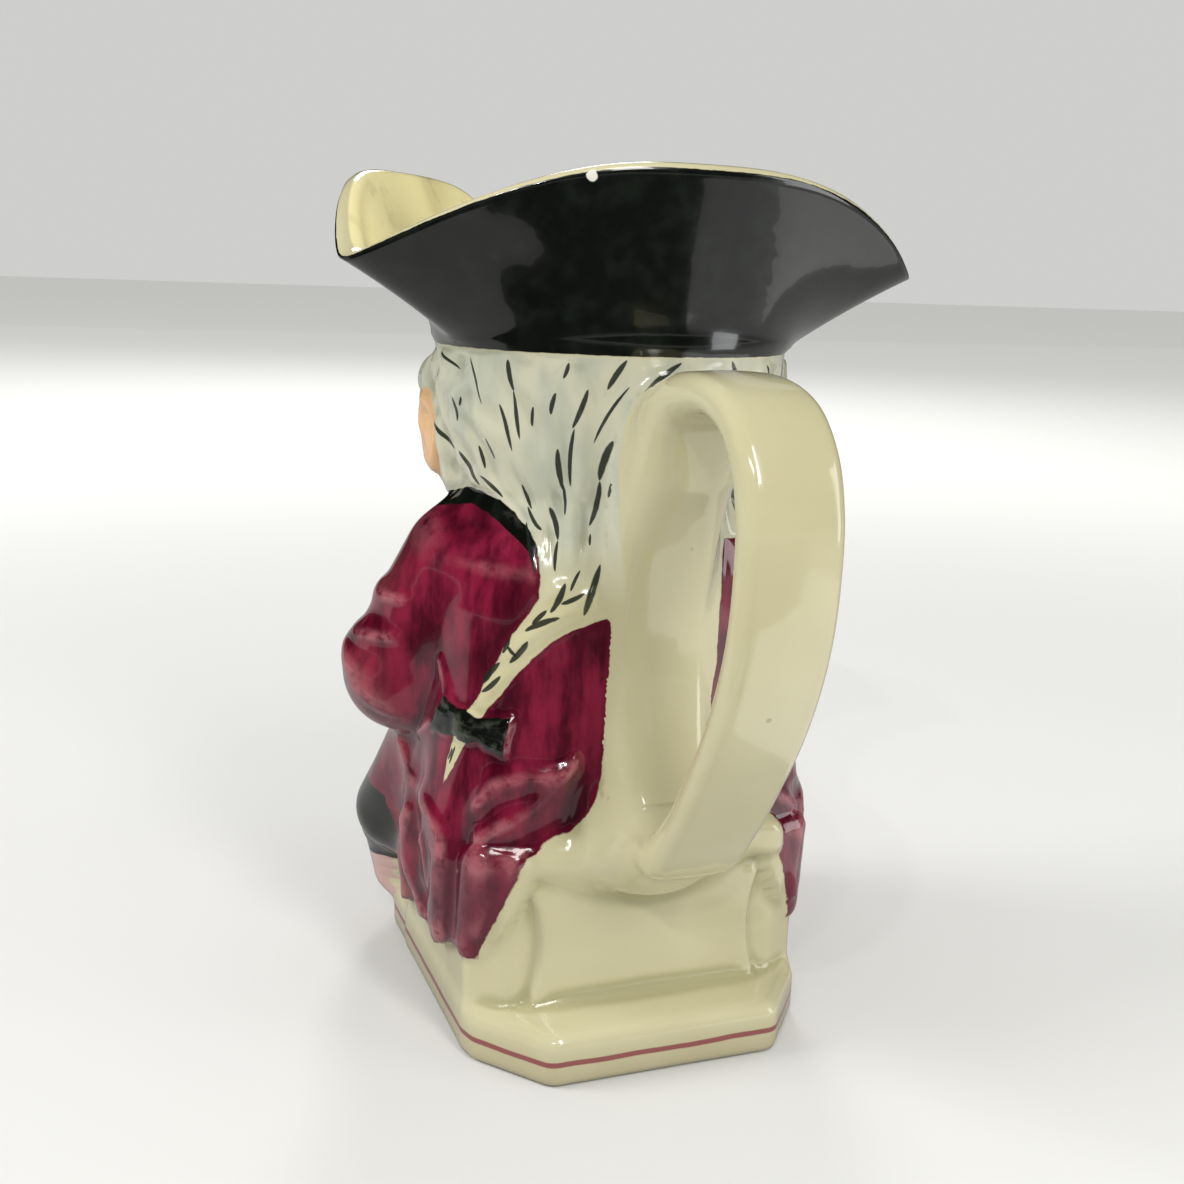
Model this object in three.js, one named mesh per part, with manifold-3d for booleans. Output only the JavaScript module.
// A toby jug: a seated man in a tricorn hat, cast in one piece of glazed earthenware.
// Millimetres, +Z up. The man looks towards -Y and the handle is on +Y. The origin is on
// the flat underside, below the upright axis of the jug.
import * as THREE from 'three';
import { mergeVertices } from 'three/addons/utils/BufferGeometryUtils.js';
import Module from 'manifold-3d';

// Base: a flat slab, a rectangle with its four corners cut off.
const BASE_HALF_WIDTH = 36.8;
const BASE_BACK = 43.3;
const BASE_FRONT = 54;
const BASE_CORNER_X = 12.5;
const BASE_CORNER_Y = 15.5;
const BASE_HEIGHT = 11;
const BASE_FOOT_ROUND = 1;
const BASE_TOP_ROUND = 1.4;

// Seat on the base, with a waisted block behind it that carries the foot of the handle.
const SEAT_HEIGHT = 43;
const SEAT_FRONT = 24;
const SEAT_SIDE_END = 25;
const BLOCK_BACK = 31.4;
const BLOCK_HALF_WAIST = 23;
const BLOCK_FLARE = 2.6;
const BLOCK_TOP = 37;
const BLOCK_PROUD = 2;
const SEAT_ROUND = 3;
const CUSHION_LENGTH = 12;
const CUSHION_DEPTH = 15;
const CUSHION_INSET = 5;
const CUSHION_HEIGHT = 8;
const CUSHION_ROUND = 3;
const TAIL_PROUD = 1.2;

// Figure: it is drawn 141 units high from the table to the hat band.
const FIGURE_HEIGHT = 141;
const U = FIGURE_HEIGHT / 141;
const AXIS_Y = -2;

// Hat: the band, and three upturned sides between three low corners.
const BAND_HALF_WIDTH = 36;
const BAND_BACK = 32;
const BAND_FRONT = 35.4;
const BRIM_RISE = 33;
const CORNER_RISE = 15.6;
const FRONT_SIDE_DROP = 1;
const SIDE_CORNER_REACH = 61.8;
const FRONT_CORNER_REACH = 61;
const BACK_SIDE_REACH = 38.8;
const FRONT_SIDE_REACH = 46.2;
const SIDE_CORNER_ANGLE = 16.3;
const BRIM_THICKNESS = 3.2;
const CREASE_FLARE = 1.06;
const CORNER_DROOP = 0.06;

// Inside of the jug.
const WALL = 4;
const FLOOR_THICKNESS = 6;
const FLOOR_CORNER = 8;

// Handle: a flat strap bent into an oval loop against the man's back.
const HANDLE_WIDTH = 18.7;
const HANDLE_THICKNESS = 5.8;
const HANDLE_CORNER = 2;
const HANDLE_REACH = 83.2;
const HANDLE_TOP_GAP = 1.3;
const HANDLE_FOOT_RISE = 0.5;
const BACK_RIB_PROUD = 1.6;

// Fineness of the faceted skin.
const COLUMNS = 68;
const BODY_ROWS = 33;
const BRIM_ROWS = 7;
const CAVITY_ROWS = 9;
const HANDLE_STEPS = 40;
const SAMPLE_STEP = 1;
const CAVITY_REACH = 3;

const TAU = Math.PI * 2;
const BAND_Z = FIGURE_HEIGHT;
const BACK_Y = 30 * U;

const clamp = (v, low = 0, high = 1) => Math.min(high, Math.max(low, v));
const mix = (a, b, t) => a + (b - a) * t;
const smooth = (a, b, v) => {
  const t = clamp((v - a) / (b - a));
  return t * t * (3 - 2 * t);
};
const softMin = (a, b, k) => {
  const h = clamp(0.5 + 0.5 * (b - a) / k);
  return mix(b, a, h) - k * h * (1 - h);
};
const softMax = (a, b, k) => -softMin(-a, -b, k);
const range = (count) => Array.from({ length: count }, (_, i) => i);

// Signed distances, in the figure's units: negative inside.
function lump(cx, cy, cz, rx, ry, rz) {
  return (x, y, z) => {
    const a = (x - cx) / rx;
    const b = (y - cy) / ry;
    const c = (z - cz) / rz;
    const size = Math.hypot(a, b, c);
    const slope = Math.hypot(a / rx, b / ry, c / rz);
    return slope > 0 ? size * (size - 1) / slope : -Math.min(rx, ry, rz);
  };
}

function limb(from, to, fromRadius, toRadius) {
  const [ax, ay, az] = from;
  const [dx, dy, dz] = [to[0] - ax, to[1] - ay, to[2] - az];
  const lengthSquared = dx * dx + dy * dy + dz * dz;
  return (x, y, z) => {
    const t = clamp(((x - ax) * dx + (y - ay) * dy + (z - az) * dz) / lengthSquared);
    return Math.hypot(x - ax - dx * t, y - ay - dy * t, z - az - dz * t) - mix(fromRadius, toRadius, t);
  };
}

const bothSides = (form) => (x, y, z) => form(Math.abs(x), y, z);

// Level sections of the trunk and head: height, half width, back, front, squareness.
// A section is |x/a|^n + |y/b|^n = 1 about the axis, with its own b behind and in front.
const TRUNK = [
  [12, 38.5, 29, -31, 4.6],
  [30, 40.2, 30, -33, 4.2],
  [45, 41, 30, -34, 3.8],
  [60, 39.6, 30, -36, 3.5],
  [75, 38, 30, -37, 3.2],
  [90, 37.5, 30, -36, 2.9],
  [99, 36, 30, -33, 2.7],
  [106, 31.8, 29.6, -28, 2.4],
  [113, 31, 29.6, -25, 2.2],
  [125, 34.8, 30.8, -26, 2.1],
  [134, 36.4, 31.6, -28, 2],
  [141, 36, 32, -32, 2],
];

function trunkAt(z) {
  const last = TRUNK.length - 1;
  let i = 0;
  while (i < last - 1 && z > TRUNK[i + 1][0]) i += 1;
  const t = clamp((z - TRUNK[i][0]) / (TRUNK[i + 1][0] - TRUNK[i][0]));
  return TRUNK[i].map((value, k) => mix(value, TRUNK[i + 1][k], t));
}

function trunkDistance(x, y, z) {
  const [, halfWidth, back, front, squareness] = trunkAt(z);
  const dy = y - AXIS_Y;
  const depth = dy > 0 ? back - AXIS_Y : AXIS_Y - front;
  const a = Math.abs(x / halfWidth) ** squareness;
  const b = Math.abs(dy / depth) ** squareness;
  return ((a + b) ** (1 / squareness) - 1) * Math.min(halfWidth, depth);
}

// The coat's tail folds fan out from the waist to the hem, in the figure's units.
const FOLDS_START = 66;
const FOLDS_FULL = 34;
function coatFolds(x, y, z) {
  const turn = Math.atan2(y - AXIS_Y, Math.abs(x));
  const reach = smooth(FOLDS_START, FOLDS_FULL, z) * smooth(1.3, 0.9, turn) * smooth(-1, -0.5, turn);
  return reach * (0.75 * Math.sin(turn * 15 + z * 0.05) + 0.35 * Math.sin(turn * 27 - z * 0.11));
}

// Trunk above the seat, in the coat.
const trunk = (x, y, z) => softMax(trunkDistance(x, y, z) - coatFolds(x, y, z), 40 - z, 2);

// Seat's outline from above, in millimetres: a box with its two back corners cut off.
function seatPlan(x, y) {
  const side = Math.abs(x);
  const cornerWidth = BASE_HALF_WIDTH - BLOCK_HALF_WAIST - BLOCK_FLARE;
  const cornerDepth = BLOCK_BACK - SEAT_SIDE_END;
  const fromCorner = (side - BASE_HALF_WIDTH) * cornerDepth + (y - SEAT_SIDE_END) * cornerWidth;
  const corner = fromCorner / Math.hypot(cornerWidth, cornerDepth);
  return Math.max(side - BASE_HALF_WIDTH, corner, y - BLOCK_BACK + BLOCK_PROUD, -SEAT_FRONT - y);
}

// Coat tails over the sides of the seat: cut off at the hem, behind the knees and
// along the slanting edge that leaves the seat's back bare.
const TAILS_APART = 24;
const TAILS_FRONT = 31;
function coatTails(x, y, z) {
  const side = Math.abs(x);
  const hem = 18.5 + 0.14 * y + 0.8 * Math.sin(y * 0.42);
  const backEdge = y > 0 ? (33.5 - 0.5 * (z - 21) - side) * 0.89 : TAILS_APART - side;
  const draped = softMax(seatPlan(x * U, y * U) / U - TAIL_PROUD, z - SEAT_HEIGHT / U - TAIL_PROUD, 2);
  const shell = softMin(trunkDistance(x, y, z), draped, 1) - coatFolds(x, y, z);
  return softMax(softMax(shell, hem - z, 1.5), softMax(backEdge, -TAILS_FRONT - y, 1), 1.5);
}

// Seat and back block, in millimetres: they follow the base and not the figure.
const seatDistance = (x, y, z) => softMax(seatPlan(x, y), z - SEAT_HEIGHT, SEAT_ROUND);

function blockDistance(x, y, z) {
  const middle = (BASE_HEIGHT + BLOCK_TOP) / 2;
  const share = (z - middle) / (BLOCK_TOP - middle);
  const halfWidth = BLOCK_HALF_WAIST + BLOCK_FLARE * share * share;
  return softMax(Math.max(Math.abs(x) - halfWidth, y - BLOCK_BACK, -y), z - BLOCK_TOP, 2);
}

// The apron above the block, where the foot of the handle spreads.
const apron = lump(0, BLOCK_BACK - 4, BLOCK_TOP + 4.5, BLOCK_HALF_WAIST + BLOCK_FLARE, 8.5, 8);

// The end of the seat's cushion, which shows beside the handle on the man's right.
function cushionDistance(x, y, z) {
  const dx = Math.abs(x + BLOCK_HALF_WAIST - CUSHION_INSET + CUSHION_LENGTH / 2) - CUSHION_LENGTH / 2 + CUSHION_ROUND;
  const dy = Math.abs(y - BLOCK_BACK + CUSHION_DEPTH / 2) - CUSHION_DEPTH / 2 + CUSHION_ROUND;
  const dz = Math.abs(z - BLOCK_TOP + 1 - CUSHION_HEIGHT / 2) - CUSHION_HEIGHT / 2 + CUSHION_ROUND;
  const outside = Math.hypot(Math.max(dx, 0), Math.max(dy, 0), Math.max(dz, 0));
  return outside + Math.min(Math.max(dx, dy, dz), 0) - CUSHION_ROUND;
}

// The man: each form with the width of its blend into the rest, in the figure's units.
const arms = [
  [bothSides(limb([30.4, -1, 96.2], [41, -10, 72.5], 12.8, 12.2)), 5],
  [bothSides(limb([41, -10, 71.5], [21, -34, 67], 11.5, 8)), 3],
  [bothSides(limb([25, -31, 67.5], [20.5, -36, 67], 9.4, 9.6)), 1.5],
  [bothSides(lump(13, -41.5, 67, 8, 6, 7.5)), 2],
];
const legs = [
  [bothSides(limb([31, -13, 55], [36.8, -30, 33.5], 10.8, 10.2)), 4],
  [bothSides(limb([17, -14, 42], [34.2, -37.4, 27.8], 12.5, 10.6)), 2.5],
  [bothSides(limb([34, -39, 22], [33, -40, 14], 8.9, 8)), 1.5],
  [bothSides(limb([31, -38, 15.2], [29, -47, 14.8], 6.4, 5.8)), 1.2],
];
const ale = [
  [lump(0, -40, 60.5, 10, 10, 13), 2],
  [limb([0, -40, 70], [0, -40, 79], 7, 8.2), 2],
];
const waist = [
  [lump(0, -16, 78, 29, 23.5, 26), 4],
  [lump(0, -23.5, 100, 18, 10.5, 4.5), 1.5],
  [lump(0, -33.5, 93.5, 5.5, 4, 8), 1],
];
const face = [
  [lump(0, -15, 131, 23, 21.8, 23), 3],
  [lump(0, -20.5, 112, 18.5, 15.8, 9.5), 4],
  [bothSides(lump(11.5, -30, 119.5, 7.5, 6.5, 6.5)), 3],
  [bothSides(limb([4.4, -37.6, 133.4], [13, -33.4, 133], 2.4, 1.8)), 2.5],
  [limb([0, -37.2, 131.5], [0, -42.3, 121.6], 2, 3), 1.8],
  [bothSides(lump(3.3, -39.4, 120.4, 2.3, 2.8, 2)), 1.2],
  [bothSides(lump(8.7, -34.9, 128.8, 4.1, 3.2, 2.8)), 0.5],
  [lump(0, -36.9, 115.9, 6, 2.8, 1.6), 0.9],
  [lump(0, -36.3, 113.3, 5, 2.8, 1.8), 0.9],
  [lump(0, -34.2, 107.4, 7.4, 4.8, 4.4), 2.5],
];
const LOCKS = 4;
const LOCK_RADIUS = 3;
const hair = [
  [bothSides(limb([28.6, -19, 131.5], [27.2, -17, 116], 7.8, 6.8)), 3],
  ...range(LOCKS).map((lock) => {
    const high = [26.4 + lock * 2, -24 + lock * 5.5, 131 - lock * 2];
    const low = [25.9 + lock * 1.6, -22 + lock * 5, 110 + lock];
    return [bothSides(limb(high, low, LOCK_RADIUS, LOCK_RADIUS)), 1.5];
  }),
];
const pigtail = [
  [limb([8, 26.2, 104], [22, 25, 91], 6.4, 5), 3],
  [limb([22, 25, 91], [34, 19, 74], 4.8, 3.6), 1.5],
  [limb([34.5, 19, 71], [39, 12, 56], 3, 1.6), 1.5],
  [limb([36.5, 19, 71.5], [31, 24, 67.5], 2, 3.4), 1],
  [limb([36.5, 19, 71.5], [40, 11.5, 73], 2, 3.2), 1],
];
const FIGURE = [[coatTails, 1.5], ...arms, ...legs, ...waist, ...face, ...hair, ...pigtail, ...ale];

function figureDistance(x, y, z) {
  let distance = trunk(x, y, z);
  for (const [form, blend] of FIGURE) distance = softMin(distance, form(x, y, z), blend);
  return distance;
}

function bodyDistance(x, y, z) {
  const man = figureDistance(x / U, y / U, z / U) * U;
  const seat = softMin(seatDistance(x, y, z), blockDistance(x, y, z), 1.2);
  const foot = softMin(apron(x, y, z), cushionDistance(x, y, z), 0.8);
  return softMin(man, softMin(seat, foot, 2), 1);
}

// Radius at which a level ray from the axis last leaves the body.
function outerRadius(angle, z) {
  const [cos, sin] = [Math.cos(angle), Math.sin(angle)];
  let radius = 90;
  for (let step = 0; step < 160; step += 1) {
    const distance = bodyDistance(radius * cos, AXIS_Y + radius * sin, z);
    if (Math.abs(distance) < 0.01) break;
    radius -= distance * 0.55;
  }
  return radius;
}

// Radius of the base's outline, set in by a margin.
function baseRadius(angle, inset) {
  const [cos, sin] = [Math.cos(angle), Math.sin(angle)];
  const end = (sin > 0 ? BASE_BACK : BASE_FRONT) - inset;
  const flat = (BASE_HALF_WIDTH - inset) / Math.max(Math.abs(cos), 1e-6);
  const across = (end - Math.sign(sin) * AXIS_Y) / Math.max(Math.abs(sin), 1e-6);
  const slant = Math.hypot(BASE_CORNER_X, BASE_CORNER_Y);
  const reach = (BASE_HALF_WIDTH * BASE_CORNER_Y + (end + inset - BASE_CORNER_Y) * BASE_CORNER_X) / slant - inset;
  const normalX = BASE_CORNER_Y / slant;
  const normalY = BASE_CORNER_X / slant;
  const start = normalY * Math.sign(sin) * AXIS_Y;
  const cut = (reach - start) / Math.max(Math.abs(cos) * normalX + Math.abs(sin) * normalY, 1e-6);
  return Math.min(flat, across, cut);
}

// Columns round the axis, closer together in front, with one on each corner of the base.
function columnAngles() {
  const angles = range(COLUMNS).map((i) => {
    const even = (i / COLUMNS) * TAU;
    return even - 0.28 * Math.cos(even);
  });
  for (const side of [1, -1]) {
    for (const [end, sign] of [[BASE_BACK, 1], [BASE_FRONT, -1]]) {
      const corners = [[BASE_HALF_WIDTH, end - BASE_CORNER_Y], [BASE_HALF_WIDTH - BASE_CORNER_X, end]];
      for (const [x, y] of corners) {
        const wanted = Math.atan2(y * sign - AXIS_Y, x * side);
        const miss = angles.map((angle) => Math.abs(Math.atan2(Math.sin(angle - wanted), Math.cos(angle - wanted))));
        const nearest = miss.indexOf(Math.min(...miss));
        angles[nearest] += Math.atan2(Math.sin(wanted - angles[nearest]), Math.cos(wanted - angles[nearest]));
      }
    }
  }
  return angles;
}

// Hat band: an ellipse about the axis, fuller in front.
function bandRadius(angle) {
  const [cos, sin] = [Math.cos(angle), Math.sin(angle)];
  const depth = sin > 0 ? BAND_BACK - AXIS_Y : BAND_FRONT + AXIS_Y;
  return 1 / Math.hypot(cos / BAND_HALF_WIDTH, sin / depth);
}

// Edge of the brim at an angle: its radius and height. Each side runs between two corners,
// and the share says how near a corner the angle is.
function brimEdge(angle) {
  const corner = THREE.MathUtils.degToRad(SIDE_CORNER_ANGLE);
  const fromBack = Math.atan2(Math.sin(angle - Math.PI / 2), Math.cos(angle - Math.PI / 2));
  const backSpan = Math.PI / 2 - corner;
  const frontSpan = Math.PI - backSpan;
  if (Math.abs(fromBack) <= backSpan) {
    const share = Math.abs(fromBack) / backSpan;
    const bend = fromBack < 0 ? 2.7 : 3.8;
    const rounded = roundedShare(share, backSpan);
    return {
      radius: mix(BACK_SIDE_REACH, SIDE_CORNER_REACH, rounded ** 2.2),
      height: BAND_Z + mix(BRIM_RISE, CORNER_RISE, rounded ** bend),
      flare: CREASE_FLARE * (1 - CORNER_DROOP * rounded ** 3),
    };
  }
  const along = (Math.abs(fromBack) - backSpan) / frontSpan;
  const share = Math.abs(along * 2 - 1);
  const reach = along < 0.5 ? SIDE_CORNER_REACH : FRONT_CORNER_REACH;
  const rounded = roundedShare(share, frontSpan / 2);
  return {
    radius: mix(FRONT_SIDE_REACH, reach, rounded ** 1.6),
    height: BAND_Z + mix(BRIM_RISE - FRONT_SIDE_DROP, CORNER_RISE, rounded ** 5),
    flare: CREASE_FLARE * (1 - CORNER_DROOP * rounded ** 3),
  };
}

// Rounds the very tip of a corner over about five degrees.
function roundedShare(share, span) {
  const tip = 0.085 / span;
  const round = (v) => 1 + tip - Math.hypot(1 - v, tip);
  return Math.max((round(share) - round(0)) / (1 - round(0)), 0);
}

// A point of the brim's outer face: the share runs from the band to the edge.
function brimPoint(angle, share) {
  const edge = brimEdge(angle);
  return {
    radius: mix(bandRadius(angle), edge.radius, share ** edge.flare),
    height: mix(BAND_Z, edge.height, share + 0.16 * share * (1 - share)),
  };
}

// How far the inner face stands in from the outer one along a level line.
function brimInset(angle, share) {
  const low = brimPoint(angle, Math.max(0, share - 0.05));
  const high = brimPoint(angle, Math.min(1, share + 0.05));
  const lean = (high.radius - low.radius) / (high.height - low.height);
  const wall = mix(WALL, BRIM_THICKNESS, smooth(0, 0.6, share));
  return wall * Math.min(Math.hypot(1, lean), 2.2);
}

// Body radii at every column and sampled height, and where the rows of facets cross them.
function sampleBody(angles, lowZ, highZ) {
  const count = Math.round((highZ - lowZ) / SAMPLE_STEP);
  const heights = range(count + 1).map((k) => mix(lowZ, highZ, k / count));
  const radii = angles.map((angle) => heights.map((z) => outerRadius(angle, z)));
  const lengths = radii.map((column) => {
    let total = 0;
    return column.map((radius, k) => {
      if (k > 0) total += Math.hypot(heights[k] - heights[k - 1], 0.7 * (radius - column[k - 1]));
      return total;
    });
  });
  const shares = lengths.map((_, j) => heights.map((__, k) => {
    const near = [-2, -1, 0, 1, 2].map((step) => lengths[(j + step + angles.length) % angles.length]);
    return near.reduce((sum, column) => sum + column[k] / column[count], 0) / near.length;
  }));
  return { heights, radii, shares };
}

function bodyPoint(samples, column, share) {
  const { heights, radii, shares } = samples;
  const last = heights.length - 1;
  let k = 0;
  while (k < last - 1 && shares[column][k + 1] < share) k += 1;
  const t = clamp((share - shares[column][k]) / (shares[column][k + 1] - shares[column][k]));
  return [mix(radii[column][k], radii[column][k + 1], t), mix(heights[k], heights[k + 1], t)];
}

// Inside radii at every sampled height: the least outer radius round about, less the wall,
// evened out over the same reach, so that the well is smooth and nowhere nearer than the wall.
function sampleCavity(samples) {
  const { heights, radii } = samples;
  const count = radii.length;
  const around = range(2 * CAVITY_REACH + 1).map((k) => k - CAVITY_REACH);
  const overReach = (table, combine) => {
    const turned = table.map((_, j) => heights.map((__, k) => (
      combine(around.map((step) => table[(j + step + count) % count][k])))));
    return turned.map((column) => heights.map((_, k) => (
      combine(around.map((step) => column[clamp(k + 2 * step, 0, heights.length - 1)])))));
  };
  const least = overReach(radii, (values) => Math.min(...values));
  return overReach(least, (values) => values.reduce((sum, value) => sum + value, 0) / values.length);
}

function cavityRadius(samples, cavity, column, z) {
  const { heights } = samples;
  const place = clamp((z - heights[0]) / (heights[1] - heights[0]), 0, heights.length - 1.001);
  const k = Math.floor(place);
  return mix(cavity[column][k], cavity[column][k + 1], place - k) - WALL;
}

// Rows of the skin from the underside, up the outside, over the brim and down inside.
// Each row is a list of [radius, height], one for each column.
function skinRows(angles) {
  const rows = [];
  const footSteps = 3;
  for (const step of range(footSteps)) {
    const turn = (step / (footSteps - 1)) * Math.PI / 2;
    const inset = BASE_FOOT_ROUND * (1 - Math.sin(turn));
    rows.push(angles.map((angle) => [baseRadius(angle, inset), BASE_FOOT_ROUND * (1 - Math.cos(turn))]));
  }
  rows.push(angles.map((angle) => [baseRadius(angle, 0), BASE_HEIGHT - BASE_TOP_ROUND]));
  rows.push(angles.map((angle) => [baseRadius(angle, BASE_TOP_ROUND), BASE_HEIGHT]));

  const samples = sampleBody(angles, BASE_HEIGHT + 1.4, BAND_Z - 1);
  const cavity = sampleCavity(samples);
  for (const row of range(BODY_ROWS)) {
    rows.push(angles.map((_, column) => bodyPoint(samples, column, row / (BODY_ROWS - 1))));
  }
  for (const row of range(BRIM_ROWS)) {
    rows.push(angles.map((angle) => {
      const point = brimPoint(angle, row / (BRIM_ROWS - 1));
      return [point.radius, point.height];
    }));
  }
  rows.push(angles.map((angle) => {
    const edge = brimEdge(angle);
    return [edge.radius - brimInset(angle, 1) / 2, edge.height + BRIM_THICKNESS / 2];
  }));
  for (const row of range(BRIM_ROWS).reverse()) {
    const share = row / (BRIM_ROWS - 1);
    rows.push(angles.map((angle) => {
      const point = brimPoint(angle, share);
      return [point.radius - brimInset(angle, share), point.height];
    }));
  }
  const floorZ = FLOOR_THICKNESS + FLOOR_CORNER;
  for (const row of range(CAVITY_ROWS)) {
    const z = mix(BAND_Z - WALL, floorZ, row / (CAVITY_ROWS - 1));
    rows.push(angles.map((_, column) => [cavityRadius(samples, cavity, column, z), z]));
  }
  rows.push(angles.map((_, column) => [cavityRadius(samples, cavity, column, floorZ) - FLOOR_CORNER / 2, FLOOR_THICKNESS + 1]));
  rows.push(angles.map((_, column) => [cavityRadius(samples, cavity, column, floorZ) - FLOOR_CORNER, FLOOR_THICKNESS]));
  return rows;
}

// The closed skin of the jug: the rows joined by facets, with a pole below and one inside.
function jugSkin() {
  const angles = columnAngles();
  const rows = skinRows(angles);
  const positions = [0, AXIS_Y, 0];
  for (const row of rows) {
    row.forEach(([radius, height], column) => {
      positions.push(radius * Math.cos(angles[column]), AXIS_Y + radius * Math.sin(angles[column]), height);
    });
  }
  positions.push(0, AXIS_Y, FLOOR_THICKNESS);
  const last = positions.length / 3 - 1;
  const at = (row, column) => 1 + row * COLUMNS + (column % COLUMNS);
  const triangles = [];
  for (const column of range(COLUMNS)) {
    triangles.push(0, at(0, column + 1), at(0, column));
    for (const row of range(rows.length - 1)) {
      triangles.push(at(row, column), at(row, column + 1), at(row + 1, column + 1));
      triangles.push(at(row, column), at(row + 1, column + 1), at(row + 1, column));
    }
    triangles.push(at(rows.length - 1, column), at(rows.length - 1, column + 1), last);
  }
  const geometry = new THREE.BufferGeometry();
  geometry.setAttribute('position', new THREE.Float32BufferAttribute(positions, 3));
  geometry.setIndex(triangles);
  return geometry;
}

// Stations round the handle's loop: out at the top, down the strap, in at the foot and up
// behind the man's back, where the strap thickens into both of its roots. Each has its place
// out and up as shares of the loop, and its thickness as a share of the strap's.
const HANDLE_STATIONS = [
  [0.335, 0.974, 1.8], [0.587, 0.998, 1.03], [0.8, 0.972, 1], [0.93, 0.905, 1], [0.988, 0.82, 1], [1, 0.735, 1],
  [0.985, 0.625, 1], [0.935, 0.52, 1], [0.845, 0.41, 1], [0.72, 0.3, 1], [0.57, 0.185, 1], [0.38, 0.09, 1.1],
  [0.161, 0.105, 2.2], [0.048, 0.224, 2.1], [0.006, 0.349, 1.6], [0, 0.494, 1.25], [0.017, 0.618, 1.7],
  [0.052, 0.743, 2.75], [0.145, 0.878, 3.8],
];

// The curve through the stations. A point of it holds half the thickness in x.
function handleLine() {
  const half = HANDLE_THICKNESS / 2;
  const top = BAND_Z - HANDLE_TOP_GAP - half;
  const foot = BLOCK_TOP + HANDLE_FOOT_RISE + half;
  const near = BACK_Y + BACK_RIB_PROUD - half;
  const far = HANDLE_REACH - half;
  const points = HANDLE_STATIONS.map(([out, up, share]) => (
    new THREE.Vector3(half * share, mix(near, far, out), mix(foot, top, up))));
  return new THREE.CatmullRomCurve3(points, true);
}

// The handle: a flat section with rounded corners carried round the loop.
function handleLoop() {
  const half = HANDLE_WIDTH / 2;
  const corner = (turn) => [HANDLE_CORNER * Math.cos(turn), HANDLE_CORNER * Math.sin(turn)];
  const section = [];
  for (const [sideX, sideY, start] of [[1, 1, 0], [-1, 1, 1], [-1, -1, 2], [1, -1, 3]]) {
    for (const step of range(3)) {
      const [across, out] = corner((start + step / 2) * Math.PI / 2);
      section.push([sideX * (half - HANDLE_CORNER) + across, sideY, out]);
    }
  }
  const line = handleLine();
  const positions = [];
  for (const step of range(HANDLE_STEPS)) {
    const point = line.getPointAt(step / HANDLE_STEPS);
    const along = line.getTangentAt(step / HANDLE_STEPS).setX(0).normalize();
    for (const [across, side, rounding] of section) {
      const out = side * (point.x - HANDLE_CORNER) + rounding;
      positions.push(across, point.y + along.z * -out, point.z + along.y * out);
    }
  }
  const count = section.length;
  const triangles = [];
  for (const step of range(HANDLE_STEPS)) {
    const next = (step + 1) % HANDLE_STEPS;
    for (const k of range(count)) {
      const [a, b] = [step * count + k, step * count + ((k + 1) % count)];
      const [c, d] = [next * count + k, next * count + ((k + 1) % count)];
      triangles.push(a, d, b, a, c, d);
    }
  }
  const geometry = new THREE.BufferGeometry();
  geometry.setAttribute('position', new THREE.Float32BufferAttribute(positions, 3));
  geometry.setIndex(triangles);
  return geometry;
}

const wasm = await Module();
wasm.setup();

function solidOf(geometry) {
  const merged = mergeVertices(geometry);
  const vertProperties = new Float32Array(merged.getAttribute('position').array);
  const triVerts = new Uint32Array(merged.getIndex().array);
  return new wasm.Manifold(new wasm.Mesh({ numProp: 3, vertProperties, triVerts }));
}

function geometryOf(solid) {
  const mesh = solid.getMesh();
  const geometry = new THREE.BufferGeometry();
  geometry.setAttribute('position', new THREE.BufferAttribute(new Float32Array(mesh.vertProperties), 3));
  geometry.setIndex(new THREE.BufferAttribute(new Uint32Array(mesh.triVerts), 1));
  return geometry;
}

const glazedEarthenware = new THREE.MeshStandardMaterial({ color: 0xcfc59a, roughness: 0.12, metalness: 0 });

const jug = new THREE.Group();
const tobyJug = new THREE.Mesh(geometryOf(solidOf(jugSkin()).add(solidOf(handleLoop()))), glazedEarthenware);
tobyJug.name = 'toby_jug';
jug.add(tobyJug);

export default jug;
